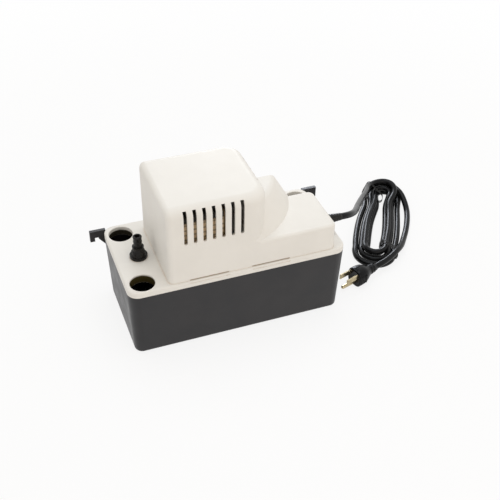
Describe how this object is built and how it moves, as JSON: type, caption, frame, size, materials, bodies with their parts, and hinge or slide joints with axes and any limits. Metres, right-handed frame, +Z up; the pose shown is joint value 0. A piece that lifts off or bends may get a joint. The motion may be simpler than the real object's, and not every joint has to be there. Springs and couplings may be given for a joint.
{
  "type": "condensate pump",
  "caption": "Tank-type condensate pump: black reservoir with wall hooks, off-white vented motor cover, drain inlets, outlet stem and a coiled cord with plug.",
  "frame": {"origin": "middle of the tank's underside, on the surface that the pump stands on", "axes": "+Z up, +X along the tank towards the cord end, +Y to the rear with the wall hooks"},
  "size_m": [0.4451, 0.2103, 0.184],
  "materials": {
    "tank_plastic": "fine-textured charcoal black",
    "cover_plastic": "semi-gloss off-white",
    "black_plastic": "moulded black",
    "pump_plastic": "moulded dark grey",
    "float_foam": "closed-cell foam",
    "steel": "plated steel",
    "lamination": "laminated steel with varnish",
    "copper": "bare copper",
    "coil_tape": "tan insulating tape",
    "bobbin_plastic": "brown nylon",
    "cast_bridge": "as cast",
    "bearing_bronze": "sintered bronze",
    "fan_plastic": "moulded black",
    "seal_rubber": "soft rubber",
    "switch_plastic": "phenolic",
    "contact_brass": "plated brass",
    "cord_jacket": "glossy PVC jacket"
  },
  "bodies": {
    "pump": {"tank": "tank_plastic", "deck": "cover_plastic", "motor_cover": "cover_plastic", "cover_screws": "steel", "stator_core": "lamination", "shading_rings": "copper", "coil_bobbin": "bobbin_plastic", "motor_coil": "coil_tape", "upper_bearing_bridge": "cast_bridge", "lower_bearing_bridge": "cast_bridge", "upper_bearing": "bearing_bronze", "lower_bearing": "bearing_bronze", "motor_screws": "steel", "pump_column": "pump_plastic", "volute_plate": "pump_plastic", "volute_screws": "steel", "column_screws": "steel", "discharge_pipe": "pump_plastic", "valve_body": "black_plastic", "discharge_fitting": "black_plastic", "fitting_seal": "seal_rubber", "float_bracket": "pump_plastic", "bracket_screws": "steel", "float_pin": "steel", "switch_body": "switch_plastic", "switch_terminals": "contact_brass", "switch_holder": "steel", "switch_screws": "steel", "strain_relief": "black_plastic", "gland_nut": "black_plastic", "cord_lead": "cord_jacket", "cord_coil": "cord_jacket", "plug_body": "cord_jacket", "plug_blades": "contact_brass", "plug_ground_pin": "contact_brass"},
    "rotor": {"motor_shaft": "steel", "rotor_core": "lamination", "cooling_fan": "fan_plastic", "slinger": "seal_rubber", "impeller": "pump_plastic"},
    "float": {"float_arm": "black_plastic", "float_block": "float_foam"},
    "push_rod": {"switch_rod": "black_plastic"},
    "lever": {"switch_lever": "steel"},
    "button": {"switch_button": "switch_plastic"},
    "ball": {"valve_ball": "seal_rubber"}
  },
  "joints": [
    {"name": "rotor_spin", "type": "hinge", "parent": "pump", "child": "rotor", "pos_m": [-0.04, 0.002, 0.1465], "axis": [0, 0, 1], "continuous": true},
    {"name": "float_swing", "type": "hinge", "parent": "pump", "child": "float", "pos_m": [0.03, -0.022, 0.078], "axis": [0, -1, 0], "range_deg": [0, 19]},
    {"name": "push_rod_slide", "type": "slide", "parent": "pump", "child": "push_rod", "axis": [0, 0, 1], "range_m": [0, 0.0053]},
    {"name": "switch_lever_hinge", "type": "hinge", "parent": "pump", "child": "lever", "pos_m": [0.064, -0.022, 0.103], "axis": [0, 1, 0], "range_deg": [0, 14.5]},
    {"name": "switch_button_slide", "type": "slide", "parent": "pump", "child": "button", "axis": [0, 0, 1], "range_m": [0, 0.0016]},
    {"name": "valve_ball_lift", "type": "slide", "parent": "pump", "child": "ball", "axis": [0, 0, 1], "range_m": [0, 0.005]}
  ],
  "couplings": [
    {"joint": "push_rod_slide", "follows": "float_swing", "m_per_rad": 0.0153},
    {"joint": "switch_lever_hinge", "follows": "float_swing", "ratio": 0.73},
    {"joint": "switch_button_slide", "follows": "float_swing", "m_per_rad": 0.0044}
  ]
}
